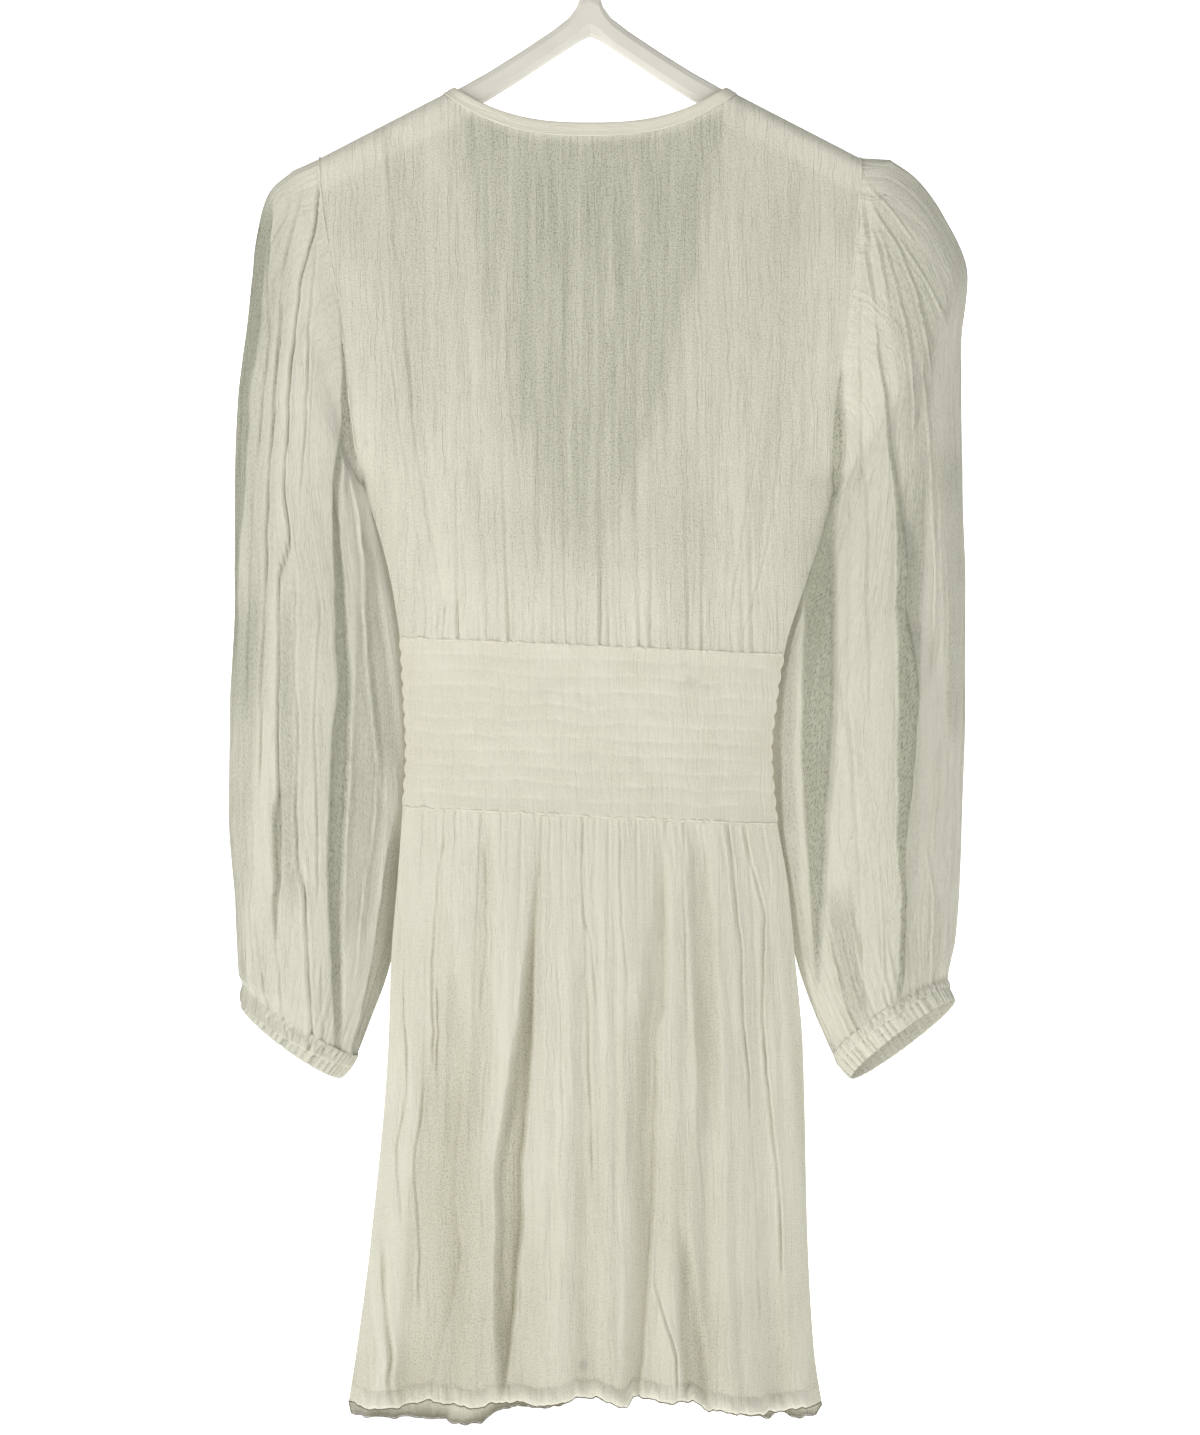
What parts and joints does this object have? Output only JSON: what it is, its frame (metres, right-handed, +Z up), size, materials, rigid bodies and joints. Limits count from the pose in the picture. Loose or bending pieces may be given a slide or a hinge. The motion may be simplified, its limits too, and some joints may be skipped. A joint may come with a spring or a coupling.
{
  "type": "mini dress on hanger",
  "caption": "Long-sleeved mini dress of crinkled gauze with a smocked waist, deep front neckline and gathered skirt, hanging on a hanger.",
  "frame": {"origin": "the point on the inside of the hanger's hook where a rail bears", "axes": "+Z up, -Y towards the dress's front, +Y towards its back, +X towards the wearer's left"},
  "size_m": [0.4772, 0.0792, 0.9926],
  "materials": {
    "gauze": "crinkled cotton gauze",
    "gauze_band": "smocked and folded cotton gauze",
    "hanger": "satin",
    "hook": "satin"
  },
  "bodies": {
    "root": {"bodice_back": "gauze", "bodice_front_left": "gauze", "bodice_front_right": "gauze", "neck_binding": "gauze_band", "waistband_back": "gauze_band", "waistband_front": "gauze_band", "skirt_back": "gauze", "skirt_front": "gauze", "sleeve_left": "gauze", "sleeve_right": "gauze", "cuff_left": "gauze_band", "cuff_right": "gauze_band", "hanger_body": "hanger", "hanger_hook": "hook"}
  },
  "joints": []
}
